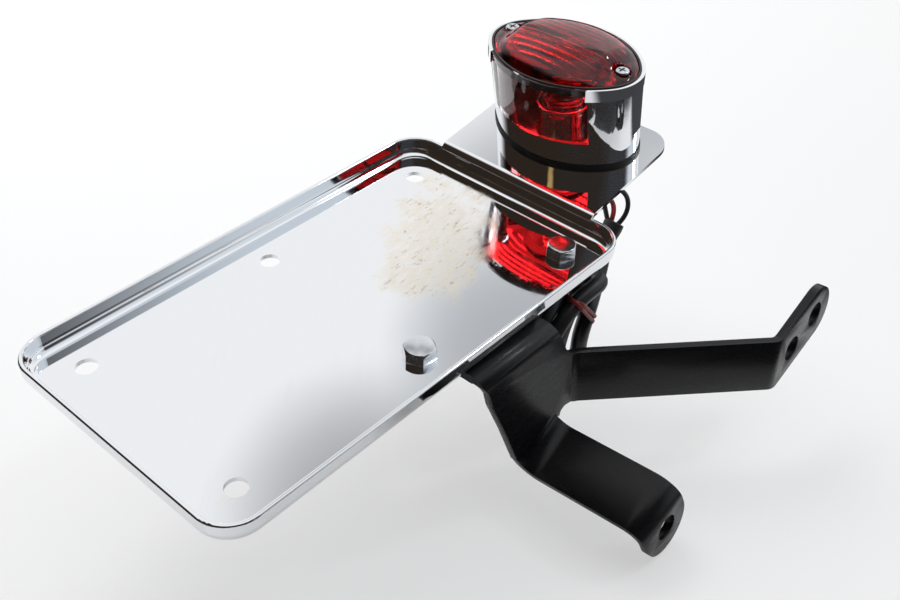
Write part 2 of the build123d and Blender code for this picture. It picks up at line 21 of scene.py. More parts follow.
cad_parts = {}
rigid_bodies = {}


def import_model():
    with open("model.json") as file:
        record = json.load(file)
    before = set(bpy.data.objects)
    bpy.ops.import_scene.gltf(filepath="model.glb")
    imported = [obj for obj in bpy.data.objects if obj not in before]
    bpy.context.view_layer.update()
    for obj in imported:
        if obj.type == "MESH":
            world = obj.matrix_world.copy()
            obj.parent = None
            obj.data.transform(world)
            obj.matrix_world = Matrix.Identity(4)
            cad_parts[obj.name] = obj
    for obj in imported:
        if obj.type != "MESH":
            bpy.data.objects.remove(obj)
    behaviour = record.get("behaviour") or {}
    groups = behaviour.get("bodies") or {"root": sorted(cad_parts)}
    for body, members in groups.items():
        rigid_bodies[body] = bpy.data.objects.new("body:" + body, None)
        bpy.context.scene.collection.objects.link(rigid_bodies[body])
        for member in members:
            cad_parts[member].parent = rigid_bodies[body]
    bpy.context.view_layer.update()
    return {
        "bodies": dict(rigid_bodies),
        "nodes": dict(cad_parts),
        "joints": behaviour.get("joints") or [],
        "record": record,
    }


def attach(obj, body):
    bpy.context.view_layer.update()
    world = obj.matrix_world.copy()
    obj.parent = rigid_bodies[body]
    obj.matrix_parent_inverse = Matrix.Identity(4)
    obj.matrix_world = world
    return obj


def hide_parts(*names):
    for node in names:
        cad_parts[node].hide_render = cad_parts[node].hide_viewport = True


MM = 0.001
TRAY_CENTRE = np.array([-38.5, 110.853, 54.853])
LOG = logging.getLogger("plate_holder")

Socket = bpy.types.NodeSocket
Material = bpy.types.Material
Piece = bpy.types.Object


def at_tray(points: np.ndarray | tuple) -> np.ndarray:
    """Turn places in millimetres from the tray floor's centre into metres in the frame.

    Args:
        points: One place or an array of places, x, y and z in millimetres.

    Returns:
        The same places in metres, measured from the frame's origin.
    """
    return (np.asarray(points, float) + TRAY_CENTRE) * MM


@dataclass(frozen=True)
class Seat:
    """A flat place on the part: its origin in millimetres and its two directions along it."""

    origin: tuple[float, float, float]
    along: tuple[float, float, float]
    across: tuple[float, float, float] = (0.0, 1.0, 0.0)

    def place(self, points: np.ndarray) -> np.ndarray:
        """Turn points on the seat into the frame.

        A point is origin + x * along + y * across + z * (along x across).

        Args:
            points: Array of x, y, z in millimetres on the seat.

        Returns:
            The points in metres in the frame.
        """
        basis = np.array([self.along, self.across, np.cross(self.along, self.across)])
        return (np.asarray(points, float) @ basis + np.array(self.origin)) * MM


LAMP_SEAT = Seat((85.1015, 113.153, 68.29), (0.985996, 0.0, 0.166769))
LENS_SEAT = Seat((79.3646, 113.153, 102.208), (0.998342, 0.0, 0.057564))


class NodeSheet:
    """The node tree of one material or of the world, with short calls that add and join nodes."""

    def __init__(self, tree: bpy.types.NodeTree) -> None:
        """Empty the tree, so that only what the finish adds is in it."""
        self.tree = tree
        tree.nodes.clear()

    def add(self, kind: str, inputs: dict | None = None, **settings) -> bpy.types.Node:
        """Add a node.

        Args:
            kind: The node's type without the words ShaderNode.
            inputs: Socket names or numbers with a value or the socket that feeds them.
            settings: The node's own properties.

        Returns:
            The new node.
        """
        node = self.tree.nodes.new("ShaderNode" + kind)
        for key, value in settings.items():
            setattr(node, key, value)
        for key, value in (inputs or {}).items():
            socket = node.inputs[key]
            if isinstance(value, Socket):
                self.tree.links.new(value, socket)
            else:
                socket.default_value = value
        return node

    def place(
        self, centre: tuple = (0, 0, 0), scale: tuple = (1, 1, 1), turn: float = 0.0
    ) -> Socket:
        """Give Object coordinates on axes of their own.

        Args:
            centre: Where the axes meet, in metres.
            scale: What the coordinates are multiplied by.
            turn: How far the axes are turned about Z, in radians.

        Returns:
            The place from the centre along each turned axis, times its scale.
        """
        coords = self.add("TexCoord").outputs["Object"]
        moved = self.add("VectorMath", {0: coords, 1: centre}, operation="SUBTRACT").outputs[0]
        inverse = tuple(1 / share for share in scale)
        inputs = {"Vector": moved, "Rotation": (0, 0, turn), "Scale": inverse}
        return self.add("Mapping", inputs, vector_type="TEXTURE").outputs[0]

    def length(self, vector: Socket) -> Socket:
        """Give a vector's length."""
        return self.add("VectorMath", {0: vector}, operation="LENGTH").outputs["Value"]

    def noise(
        self, vector: Socket, scale: float, detail: float = 3.0, rough: float = 0.5
    ) -> Socket:
        """Give a noise from 0 to 1 that follows a vector."""
        inputs = {"Vector": vector, "Scale": scale, "Detail": detail, "Roughness": rough}
        return self.add("TexNoise", inputs).outputs["Fac"]

    def streaks(
        self, scale: tuple, turn: float = 0.0, detail: float = 5.0, rough: float = 0.7
    ) -> Socket:
        """Give a noise that is drawn out along the axes with the smaller scales."""
        return self.noise(self.place(scale=scale, turn=turn), 1.0, detail, rough)

    def ramp(
        self, value: Socket, low: float, high: float, to_low: float = 0.0, to_high: float = 1.0
    ) -> Socket:
        """Map a value smoothly from one range to another."""
        inputs = {"Value": value, "From Min": low, "From Max": high}
        inputs |= {"To Min": to_low, "To Max": to_high}
        return self.add("MapRange", inputs, interpolation_type="SMOOTHSTEP").outputs[0]

    def math(self, operation: str, first, second=0.0) -> Socket:
        """Join two values with a maths operation."""
        return self.add("Math", {0: first, 1: second}, operation=operation).outputs[0]

    def blend(self, share, first, second) -> Socket:
        """Mix two colours by a share from 0 to 1."""
        node = self.add("Mix", data_type="RGBA")
        for index, value in ((0, share), (6, first), (7, second)):
            if isinstance(value, Socket):
                self.tree.links.new(value, node.inputs[index])
            else:
                node.inputs[index].default_value = value
        return node.outputs[2]

    def bump(self, height: Socket, distance: float, strength: float = 1.0) -> Socket:
        """Give a normal that is bent by a height map."""
        inputs = {"Height": height, "Distance": distance, "Strength": strength}
        return self.add("Bump", inputs).outputs[0]

    def close(self, shader: Socket) -> None:
        """Feed a shader to the output."""
        self.add("OutputMaterial", {"Surface": shader})


class Slot(Enum):
    """The record's material slots."""

    TRAY = "tray_chrome"
    BRACKET = "bracket_black"
    ZINC = "zinc"
    LAMP = "lamp_chrome"
    LENS = "lens_red"
    WINDOW = "window_clear"
    RUBBER = "rubber_black"
    REFLECTOR = "reflector_silver"
    SOCKET = "socket_metal"
    BULB = "bulb_glass"
    RED_LEAD = "lead_red_skin"
    BLACK_LEAD = "lead_black_skin"
    SLEEVE = "sleeve_black"
    TIE = "tie_red"


@dataclass(frozen=True)
class Finish:
    """What every finish has: the record's slot and a way to make its material."""

    slot: Slot

    def sheet(self) -> tuple[Material, NodeSheet]:
        """Make an empty material named after the slot, with its node sheet."""
        material = bpy.data.materials.new(self.slot.value)
        material.use_nodes = True
        return material, NodeSheet(material.node_tree)

    def material(self) -> Material:
        """Make the finish's material; each kind of finish does this its own way."""
        raise NotImplementedError


@dataclass(frozen=True)
class MirrorChrome(Finish):
    """Bright chrome plate: a clean mirror with faint wipe marks, and sandy dust on the tray.

    The middles of the dust are in millimetres from the tray floor's centre, and its scales are one
    over half its size in metres.
    """

    tint: tuple = (0.86, 0.87, 0.885, 1.0)
    wiped: tuple = (0.78, 0.79, 0.80, 1.0)
    sand: tuple = (0.9, 0.82, 0.69, 1.0)
    fleck: tuple = (0.5, 0.4, 0.27, 1.0)
    roughness: float = 0.03
    wave: float = 0.00004
    dusty: bool = False
    patch_middle: tuple = (50.0, 1.0, 0.0)
    patch_scale: tuple = (22.5, 48.0, 60.0)
    patch_turn: float = 0.64
    smear_middle: tuple = (-77.0, -37.0, 0.0)
    smear_scale: tuple = (160.0, 240.0, 100.0)

    def material(self) -> Material:
        """Make the chrome.

        Returns:
            A metallic material. Its roughness is the clean value, plus soft wipe marks, plus the
            dust's share; its colour goes to sand where the dust lies.
        """
        material, nodes = self.sheet()
        wipe = nodes.streaks((30, 160, 60), 0.7, 4.0, 0.6)
        rough = nodes.ramp(wipe, 0.45, 0.8, self.roughness, self.roughness + 0.05)
        colour = nodes.blend(nodes.ramp(wipe, 0.5, 0.8, 0.0, 0.12), self.tint, self.wiped)
        if self.dusty:
            dust = self.dust(nodes)
            flecks = nodes.ramp(nodes.streaks((260, 700, 300), 0.1), 0.57, 0.66)
            sand = nodes.blend(flecks, self.sand, self.fleck)
            colour = nodes.blend(nodes.math("MULTIPLY", dust, 0.8), colour, sand)
            rough = nodes.math("ADD", rough, nodes.math("MULTIPLY", dust, 0.16))
        height = nodes.noise(nodes.place(), 34.0, 1.5)
        shader = nodes.add(
            "BsdfPrincipled",
            {
                "Base Color": colour,
                "Roughness": rough,
                "Metallic": 1.0,
                "Normal": nodes.bump(height, self.wave, 0.6),
            },
        )
        nodes.close(shader.outputs[0])
        return material

    def dust(self, nodes: NodeSheet) -> Socket:
        """Give the share of sandy dust on the tray's floor.

        The dust is one soft patch, the distance to its middle warped by noise, times a grain that
        is drawn out along the wiping direction, plus a smaller smear by the near corner hole.
        """
        middle = tuple(at_tray(self.patch_middle))
        away = nodes.length(nodes.place(middle, self.patch_scale, self.patch_turn))
        warp = nodes.noise(nodes.place(), 60.0, 4.0, 0.6)
        edge = nodes.math("ADD", away, nodes.ramp(warp, 0.3, 0.7, -0.3, 0.3))
        patch = nodes.ramp(edge, 1.05, 0.55)
        grain = nodes.streaks((120, 360, 200), 0.15)
        share = nodes.math("MULTIPLY", patch, nodes.ramp(grain, 0.38, 0.6, 0.55, 1.0))
        near = nodes.length(nodes.place(tuple(at_tray(self.smear_middle)), self.smear_scale))
        thin = nodes.ramp(grain, 0.45, 0.6, 0.0, 0.35)
        small = nodes.math("MULTIPLY", nodes.ramp(near, 1.0, 0.3), thin)
        return nodes.math("MAXIMUM", share, small)


@dataclass(frozen=True)
class SatinBlack(Finish):
    """Black coat on the bracket, smooth but not a mirror, with thin scuffs."""

    coat: tuple = (0.006, 0.006, 0.007, 1.0)
    rubbed: tuple = (0.022, 0.022, 0.025, 1.0)

    def material(self) -> Material:
        """Make the black coat, with a faint orange peel and lighter rubbed streaks."""
        material, nodes = self.sheet()
        peel = nodes.noise(nodes.place(), 900.0, 2.0)
        rub = nodes.streaks((60, 60, 400), rough=0.65)
        worn = nodes.ramp(rub, 0.62, 0.8, 0.0, 0.3)
        shader = nodes.add(
            "BsdfPrincipled",
            {
                "Base Color": nodes.blend(worn, self.coat, self.rubbed),
                "Roughness": nodes.ramp(rub, 0.4, 0.8, 0.27, 0.38),
                "Specular IOR Level": 0.3,
                "Normal": nodes.bump(peel, 0.00002, 0.3),
            },
        )
        nodes.close(shader.outputs[0])
        return material


@dataclass(frozen=True)
class PlatedSteel(Finish):
    """Plated steel of small parts: a soft mirror with fine turning marks."""

    tint: tuple = (0.74, 0.76, 0.78, 1.0)
    dull: tuple = (0.62, 0.64, 0.66, 1.0)
    roughness: float = 0.11

    def material(self) -> Material:
        """Make the plated steel, its tint and roughness both varied by one fine noise."""
        material, nodes = self.sheet()
        grain = nodes.noise(nodes.place(), 700.0, 4.0, 0.6)
        blotch = nodes.noise(nodes.place(), 140.0, 2.0)
        shader = nodes.add(
            "BsdfPrincipled",
            {
                "Base Color": nodes.blend(nodes.ramp(blotch, 0.45, 0.7), self.tint, self.dull),
                "Metallic": 1.0,
                "Roughness": nodes.ramp(grain, 0.3, 0.7, self.roughness, self.roughness + 0.08),
                "Normal": nodes.bump(grain, 0.00001, 0.3),
            },
        )
        nodes.close(shader.outputs[0])
        return material


@dataclass(frozen=True)
class ClearPlastic(Finish):
    """Clear or tinted plastic that lets the lamps' light through to what is behind it."""

    tint: tuple = (1.0, 1.0, 1.0, 1.0)
    shade: tuple = (1.0, 1.0, 1.0, 1.0)
    bend: float = 1.49
    roughness: float = 0.01

    def material(self) -> Material:
        """Make the plastic: a transmitting shader, and a tinted Transparent one for shadow rays."""
        material, nodes = self.sheet()
        haze = nodes.noise(nodes.place(), 240.0, 3.0, 0.6)
        shader = nodes.add(
            "BsdfPrincipled",
            {
                "Base Color": self.tint,
                "Roughness": nodes.ramp(haze, 0.45, 0.8, self.roughness, self.roughness + 0.04),
                "IOR": self.bend,
                "Transmission Weight": 1.0,
            },
        )
        see = nodes.add("BsdfTransparent", {"Color": self.shade})
        shadow = nodes.add("LightPath").outputs["Is Shadow Ray"]
        mix = nodes.add("MixShader", {0: shadow, 1: shader.outputs[0], 2: see.outputs[0]})
        nodes.close(mix.outputs[0])
        return material


@dataclass(frozen=True)
class SoftPlastic(Finish):
    """Rubber, soft sleeve or wire skin: an opaque plastic with a fine bump."""

    colour: tuple = (0.02, 0.02, 0.02, 1.0)
    worn: tuple = (0.05, 0.05, 0.05, 1.0)
    roughness: float = 0.45
    grain: float = 500.0
    depth: float = 0.00005

    def material(self) -> Material:
        """Make the plastic, with a lighter rubbed tone where the noise is high."""
        material, nodes = self.sheet()
        fine = nodes.noise(nodes.place(), self.grain, 4.0, 0.6)
        soft = nodes.noise(nodes.place(), self.grain / 6, 2.0)
        rubbed = nodes.ramp(soft, 0.5, 0.8, 0.0, 0.7)
        shader = nodes.add(
            "BsdfPrincipled",
            {
                "Base Color": nodes.blend(rubbed, self.colour, self.worn),
                "Roughness": nodes.ramp(fine, 0.3, 0.7, self.roughness, self.roughness + 0.15),
                "Normal": nodes.bump(fine, self.depth, 0.5),
            },
        )
        nodes.close(shader.outputs[0])
        return material


def grid_faces(rows: int, columns: int) -> np.ndarray:
    """Give the quads of a grid whose columns close into a ring.

    Args:
        rows: Number of rings.
        columns: Points in each ring.

    Returns:
        Array of four corner numbers for each quad, facing outwards where the rings rise and turn
        anticlockwise.
    """
    row, column = np.meshgrid(np.arange(rows - 1), np.arange(columns), indexing="ij")
    beside = (column + 1) % columns
    low, high = row * columns, (row + 1) * columns
    corners = (low + column, low + beside, high + beside, high + column)
    return np.stack([corner.ravel() for corner in corners], axis=1)


def mesh_piece(
    name: str, points: np.ndarray, faces: np.ndarray, material: Material | None, merge: float = 0.0
) -> Piece:
    """Make an object from points in metres and faces.

    Args:
        name: The piece's name.
        points: Array of places in the frame.
        faces: Array or list of corner numbers.
        material: The piece's material, or none for a tool.
        merge: Points nearer than this are joined, which closes poles and seams.

    Returns:
        The object, smooth shaded, linked to the scene.
    """
    mesh = bpy.data.meshes.new(name)
    mesh.from_pydata(points.tolist(), [], [list(map(int, face)) for face in faces])
    if merge:
        clean_mesh(mesh, merge)
    mesh.polygons.foreach_set("use_smooth", np.ones(len(mesh.polygons), bool))
    if material:
        mesh.materials.append(material)
    piece = bpy.data.objects.new(name, mesh)
    bpy.context.scene.collection.objects.link(piece)
    return piece


def clean_mesh(mesh: bpy.types.Mesh, distance: float) -> None:
    """Merge close points of a mesh and drop faces without area."""
    work = bmesh.new()
    work.from_mesh(mesh)
    bmesh.ops.remove_doubles(work, verts=work.verts, dist=distance)
    bmesh.ops.dissolve_degenerate(work, dist=distance / 2, edges=work.edges)
    bmesh.ops.recalc_face_normals(work, faces=work.faces)
    work.to_mesh(mesh)
    work.free()


def bake_shape(piece: Piece) -> Piece:
    """Apply every modifier of a piece to its mesh."""
    graph = bpy.context.evaluated_depsgraph_get()
    graph.update()
    mesh = bpy.data.meshes.new_from_object(piece.evaluated_get(graph))
    piece.modifiers.clear()
    piece.data = mesh
    return piece


def carve(piece: Piece, tool: Piece, operation: str) -> None:
    """Join or cut a piece with a closed tool, and remove the tool."""
    cut = piece.modifiers.new("Carve", "BOOLEAN")
    cut.object, cut.operation, cut.solver = tool, operation, "EXACT"
    bake_shape(piece)
    bpy.data.objects.remove(tool)


def smooth_by_angle(piece: Piece, sharp: float) -> None:
    """Shade a piece smooth, apart from edges that turn by more than sharp degrees."""
    piece.data.polygons.foreach_set("use_smooth", np.ones(len(piece.data.polygons), bool))
    piece.data.set_sharp_from_angle(angle=math.radians(sharp))


def edged_copy(
    frame: dict, node: str, width: float, material: Material, segments: int = 2, sharp: float = 32.0
) -> Piece:
    """Copy a CAD node with its sharp edges rounded, for a piece that replaces it.

    Args:
        node: The CAD node's name.
        width: Width of the rounding in metres.
        material: The piece's material.
        segments: Segments of the rounding.
        sharp: Edges that turn by more than this many degrees are rounded.

    Returns:
        The copy, which replaces the node.
    """
    weld, flat = 0.000002, math.radians(0.6)
    work = bmesh.new()
    work.from_mesh(frame["nodes"][node].data)
    bmesh.ops.remove_doubles(work, verts=work.verts, dist=weld)
    bmesh.ops.dissolve_limit(work, angle_limit=flat, verts=work.verts, edges=work.edges)
    mesh = bpy.data.meshes.new(node + "_edged")
    work.to_mesh(mesh)
    work.free()
    mesh.materials.clear()
    mesh.materials.append(material)
    mesh.polygons.foreach_set("use_smooth", np.ones(len(mesh.polygons), bool))
    piece = bpy.data.objects.new(node + "_edged", mesh)
    bpy.context.scene.collection.objects.link(piece)
    bevel = piece.modifiers.new("Edges", "BEVEL")
    bevel.width = width
    bevel.segments = segments
    bevel.limit_method = "ANGLE"
    bevel.angle_limit = math.radians(sharp)
    bevel.harden_normals = True
    bevel.use_clamp_overlap = True
    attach(piece, "root")
    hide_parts(node)
    return piece


def eye_rings(
    half_length: np.ndarray,
    half_width: np.ndarray,
    side_radius: np.ndarray,
    side: int = 90,
    tip: int = 30,
) -> np.ndarray:
    """Give closed outlines of the lamp: two long side arcs joined by two round tips.

    The side arcs have their centres on X at side_radius - half_width from the middle, the tips on Y
    where both arcs touch, and each arc is a turn of its radius about its centre.

    Args:
        half_length: Half the length of each ring along Y.
        half_width: Half the width of each ring along X.
        side_radius: Radius of each ring's side arcs.
        side: Points on each side arc.
        tip: Points on each tip arc.

    Returns:
        Array of rings, points and x, y.
    """
    sizes = (half_length, half_width, side_radius)
    length, width, radius = (np.asarray(size, float)[:, None] for size in sizes)
    centre = radius - width
    tip_radius = (length**2 + centre**2 - radius**2) / (2 * (length - radius))
    tip_centre = length - tip_radius
    turn = np.arctan2(tip_centre, centre)
    along_side = np.linspace(-1, 1, side, endpoint=False)[None, :] * turn
    along_tip = turn + np.linspace(0, 1, tip, endpoint=False)[None, :] * (np.pi - 2 * turn)
    right = np.stack([-centre + radius * np.cos(along_side), radius * np.sin(along_side)], axis=2)
    top_x, top_y = tip_radius * np.cos(along_tip), tip_centre + tip_radius * np.sin(along_tip)
    top = np.stack([top_x, top_y], axis=2)
    return np.concatenate([right, top, -right, -top], axis=1)


def smooth_path(knots: np.ndarray, count: int) -> np.ndarray:
    """Run a smooth cubic through knots.

    Each stretch is a Hermite cubic whose tangents are half the difference of the knots beside it.

    Args:
        knots: Array of knots, one row each.
        count: Rows wanted.

    Returns:
        Array of count rows on the curve, evenly spread over the stretches.
    """
    tangents = np.gradient(knots, axis=0)
    where = np.linspace(0, len(knots) - 1, count)
    low = np.minimum(where.astype(int), len(knots) - 2)
    share = (where - low)[:, None]
    first, last = knots[low], knots[low + 1]
    start, end = tangents[low], tangents[low + 1]
    return (
        first * (2 * share**3 - 3 * share**2 + 1)
        + start * (share**3 - 2 * share**2 + share)
        + last * (3 * share**2 - 2 * share**3)
        + end * (share**3 - share**2)
    )


@dataclass
class Tray:
    """The plate tray with its bolts: CAD shapes in chrome and plated steel."""

    frame: dict
    chrome: MirrorChrome = MirrorChrome(Slot.TRAY, dusty=True)
    steel: PlatedSteel = PlatedSteel(Slot.ZINC)
    edge: float = 0.25

    def build(self) -> None:
        """Dress the tray and its plated parts, and give the bolts and nuts rounded edges."""
        dress(self.frame, "plate_tray", self.chrome)
        steel = self.steel.material()
        for node in ("bracket_bolts", "bolt_nuts", "stud_nuts"):
            edged_copy(self.frame, node, self.edge * MM, steel)
        for node in ("bolt_washers", "stud_washers", "lamp_studs", "lens_screws"):
            dress_with(self.frame, node, steel)


def dress(frame: dict, node: str, finish: Finish) -> None:
    """Give a CAD node that is kept the material of a finish."""
    dress_with(frame, node, finish.material())


def dress_with(frame: dict, node: str, material: Material) -> None:
    """Give a CAD node that is kept a material."""
    mesh_object = frame["nodes"][node]
    if not mesh_object.material_slots:
        mesh_object.data.materials.append(None)
    for slot in mesh_object.material_slots:
        slot.material = material


@dataclass
class Bracket:
    """The forked flat bar bracket."""

    frame: dict
    coat: SatinBlack = SatinBlack(Slot.BRACKET)
    edge: float = 0.45

    def build(self) -> None:
        """Round the bracket's cut edges and coat it black."""
        piece = edged_copy(self.frame, "mounting_bracket", self.edge * MM, self.coat.material())


@dataclass
class Lamp:
    """The tail lamp: housing, clear window, red lens and what is inside.

    Lengths are in millimetres. The dome's knots are share of length, share of width and height;
    the globe's and the cup's are radius and height.
    """

    frame: dict
    half_length: float = 29.6
    half_width: float = 21.9
    wall: float = 2.0
    flange: float = 2.0
    roundness: float = 1.076
    dome: tuple = (
        (1.0, 1.0, 0.0),
        (0.96, 0.945, 1.6),
        (0.87, 0.82, 3.4),
        (0.75, 0.62, 5.0),
        (0.62, 0.36, 6.0),
        (0.52, 0.16, 6.4),
        (0.47, 0.0, 6.45),
    )
    flute_pitch: float = 3.1
    flute_depth: float = 0.45
    flute_fade: tuple = (17.5, 24.0)
    ridge_depth: float = 0.9
    ridge_half: float = 0.8
    screw_place: float = 24.8
    pocket_radius: float = 3.4
    pocket_floor: float = 0.4
    post_radius: float = 4.1
    tip_start: float = 17.0
    tip_end: float = 24.0
    tip_drop: float = 0.5
    globe: tuple = (
        (6.6, 13.0), (6.6, 17.2), (6.9, 18.6), (8.6, 20.6), (9.9, 23.0),
        (10.2, 25.6), (9.6, 28.4), (7.8, 30.9), (4.6, 32.7), (0.0, 33.3),
    )
    cup: tuple = (
        (0.0, 2.1), (5.4, 2.1), (7.2, 2.9), (8.7, 5.0), (9.5, 8.0), (9.8, 12.0),
        (9.9, 15.4), (10.5, 15.9), (10.5, 16.5), (9.4, 16.6), (7.4, 14.6), (0.0, 14.4),
    )

    def build(self) -> None:
        """Dress the lamp's CAD pieces and build its lens, bulb and socket cup."""
        shell = MirrorChrome(Slot.LAMP, tint=(0.88, 0.89, 0.9, 1.0), wave=0.00001)
        clear = ClearPlastic(Slot.WINDOW, tint=(0.9, 0.82, 0.82, 1), shade=(0.6, 0.4, 0.4, 1))
        bright = PlatedSteel(Slot.REFLECTOR, tint=(0.8, 0.8, 0.8, 1), roughness=0.1)
        dress(self.frame, "lamp_housing", shell)
        dress(self.frame, "plate_light_window", clear)
        dress(self.frame, "lamp_reflector", bright)
        rubber = SoftPlastic(Slot.RUBBER).material()
        for node in ("lens_gasket", "lamp_base_gasket", "wire_grommet"):
            dress_with(self.frame, node, rubber)
        self.lens()
        glass = ClearPlastic(Slot.BULB, tint=(0.97, 0.95, 0.93, 1), bend=1.25)
        plated = PlatedSteel(Slot.SOCKET, tint=(0.72, 0.7, 0.66, 1), roughness=0.08)
        self.turned("bulb_globe", self.globe, glass, "bulb")
        self.turned("socket_cup", self.cup, plated, "bulb_socket")

    def turned(self, name: str, profile: tuple, finish: Finish, node: str) -> None:
        """Turn a profile about the lamp's axis.

        A point of the surface is (radius * cos turn, radius * sin turn, height), with radius and
        height from a smooth run through the profile's knots.

        Args:
            name: The piece's name.
            profile: Radius and height of each knot in millimetres.
            finish: The piece's finish.
            node: The CAD node that it replaces.
        """
        path = smooth_path(np.array(profile), 6 * len(profile))
        turn = np.linspace(0, 2 * np.pi, 72, endpoint=False)
        radius = np.maximum(path[:, :1], 0.0)
        height = np.broadcast_to(path[:, 1:], (len(path), len(turn)))
        stack = np.stack([radius * np.cos(turn), radius * np.sin(turn), height], axis=2)
        points, faces = LAMP_SEAT.place(stack.reshape(-1, 3)), grid_faces(len(path), len(turn))
        piece = mesh_piece(name, points, faces, finish.material(), merge=0.00002)
        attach(piece, "root")
        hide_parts(node)

    def rings(self, levels: np.ndarray, shrink: float) -> np.ndarray:
        """Give the lens's rings at levels of length share, width share and height.

        The side arc's radius is roundness * (length^2 + width^2) / (2 * width), with half sizes:
        a roundness of one would give pointed tips. Near the two tips the height falls by a smooth
        step, to make room for the screws.

        Args:
            levels: Array of share of length, share of width and height in millimetres.
            shrink: How far the outline is drawn in before it is scaled.

        Returns:
            Array of rings, points and x, y, z on the lens's seat.
        """
        length = (self.half_length - shrink) * levels[:, 0]
        width = np.maximum((self.half_width - shrink) * levels[:, 1], 0.02)
        radius = self.roundness * (length**2 + width**2) / (2 * width)
        flat = eye_rings(length, width, radius)
        beyond = np.abs(flat[..., 1:]) - self.tip_start
        tip = np.clip(beyond / (self.tip_end - self.tip_start), 0, 1)
        lower = 1 - self.tip_drop * tip**2 * (3 - 2 * tip)
        height = levels[:, 2][:, None, None]
        return np.concatenate([flat, height * np.where(height > 0, lower, 1.0)], axis=2)

    def flutes(self, points: np.ndarray) -> np.ndarray:
        """Give how far the moulded flutes hang below the lens's inside.

        The flutes run along the lens. Each is a scallop across it, one minus the square of the
        share of the way from its middle to its side. A sharper ridge runs down the middle line,
        and both fade out near the rim.

        Args:
            points: Places on the lens's seat in millimetres.

        Returns:
            The depth at each place in millimetres.
        """
        share = points[..., 0] / self.flute_pitch
        away = 2 * (share - np.round(share))
        ridge = np.clip(1 - np.abs(points[..., 0]) / self.ridge_half, 0, 1)
        half_x, half_y = self.flute_fade
        rim = np.clip((1 - np.hypot(points[..., 0] / half_x, points[..., 1] / half_y)) * 6, 0, 1)
        return rim * (self.flute_depth * (1 - away**2) + self.ridge_depth * ridge)

    def posts(self, name: str, radius: float, low: float, high: float) -> Piece:
        """Make two upright round posts at the lens screws, as a tool that shapes the lens."""
        count = 48
        turn = np.linspace(0, 2 * np.pi, count, endpoint=False)
        reach = np.array([0.0, radius, radius, 0.0])[:, None]
        height = np.broadcast_to(np.array([low, low, high, high])[:, None], (4, count))
        post = np.stack([reach * np.cos(turn), reach * np.sin(turn), height], axis=2).reshape(-1, 3)
        both = np.concatenate([post + (0, self.screw_place, 0), post - (0, self.screw_place, 0)])
        faces = grid_faces(4, count)
        faces = np.concatenate([faces, faces + len(post)])
        return mesh_piece(name, LENS_SEAT.place(both), faces, None, merge=0.00001)

    def shell(self, name: str, stack: np.ndarray, material: Material | None) -> Piece:
        """Make a piece from a stack of rings on the lens's seat, with its poles closed."""
        points, faces = LENS_SEAT.place(stack.reshape(-1, 3)), grid_faces(*stack.shape[:2])
        return mesh_piece(name, points, faces, material, merge=0.00003)

    def lens(self) -> None:
        """Build the lens: a domed shell with flutes inside, and two posts with screw pockets.

        The rings run from the inside's crest down to its foot, across the flange's foot and up the
        outside to the outer crest, so they close on themselves. The posts are cut to the dome,
        joined to the shell, and bored for the screw heads.
        """
        red = ClearPlastic(Slot.LENS, tint=(0.72, 0.012, 0.016, 1), shade=(0.75, 0.03, 0.03, 1))
        material = red.material()
        path = smooth_path(np.array(self.dome), 61)
        outside = self.rings(path, 0.0)
        foot = np.array([[1.0, 1.0, -self.flange]])
        outer_foot, inner_foot = self.rings(foot, 0.0), self.rings(foot, self.wall)
        inside = self.rings(path - np.array([0, 0, 0.85 * self.wall]), self.wall)
        inside[..., 2] -= self.flutes(inside)
        stack = np.concatenate([inside[::-1], inner_foot, outer_foot, outside])
        lens = self.shell("red_lens", stack, material)
        base = self.rings(np.array([[0.0, 0.0, -self.flange]]), 0.0) * (0, 0, 1)
        solid = np.concatenate([base, outer_foot, outside])
        core = self.shell("lens_core", solid, None)
        posts = self.posts("lens_posts", self.post_radius, -self.flange + 0.01, 9.0)
        carve(posts, core, "INTERSECT")
        carve(lens, posts, "UNION")
        pockets = self.posts("lens_pockets", self.pocket_radius, self.pocket_floor, 9.5)
        carve(lens, pockets, "DIFFERENCE")
        lens.data.materials.clear()
        lens.data.materials.append(material)
        smooth_by_angle(lens, 35.0)
        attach(lens, "root")
        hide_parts("lamp_lens")


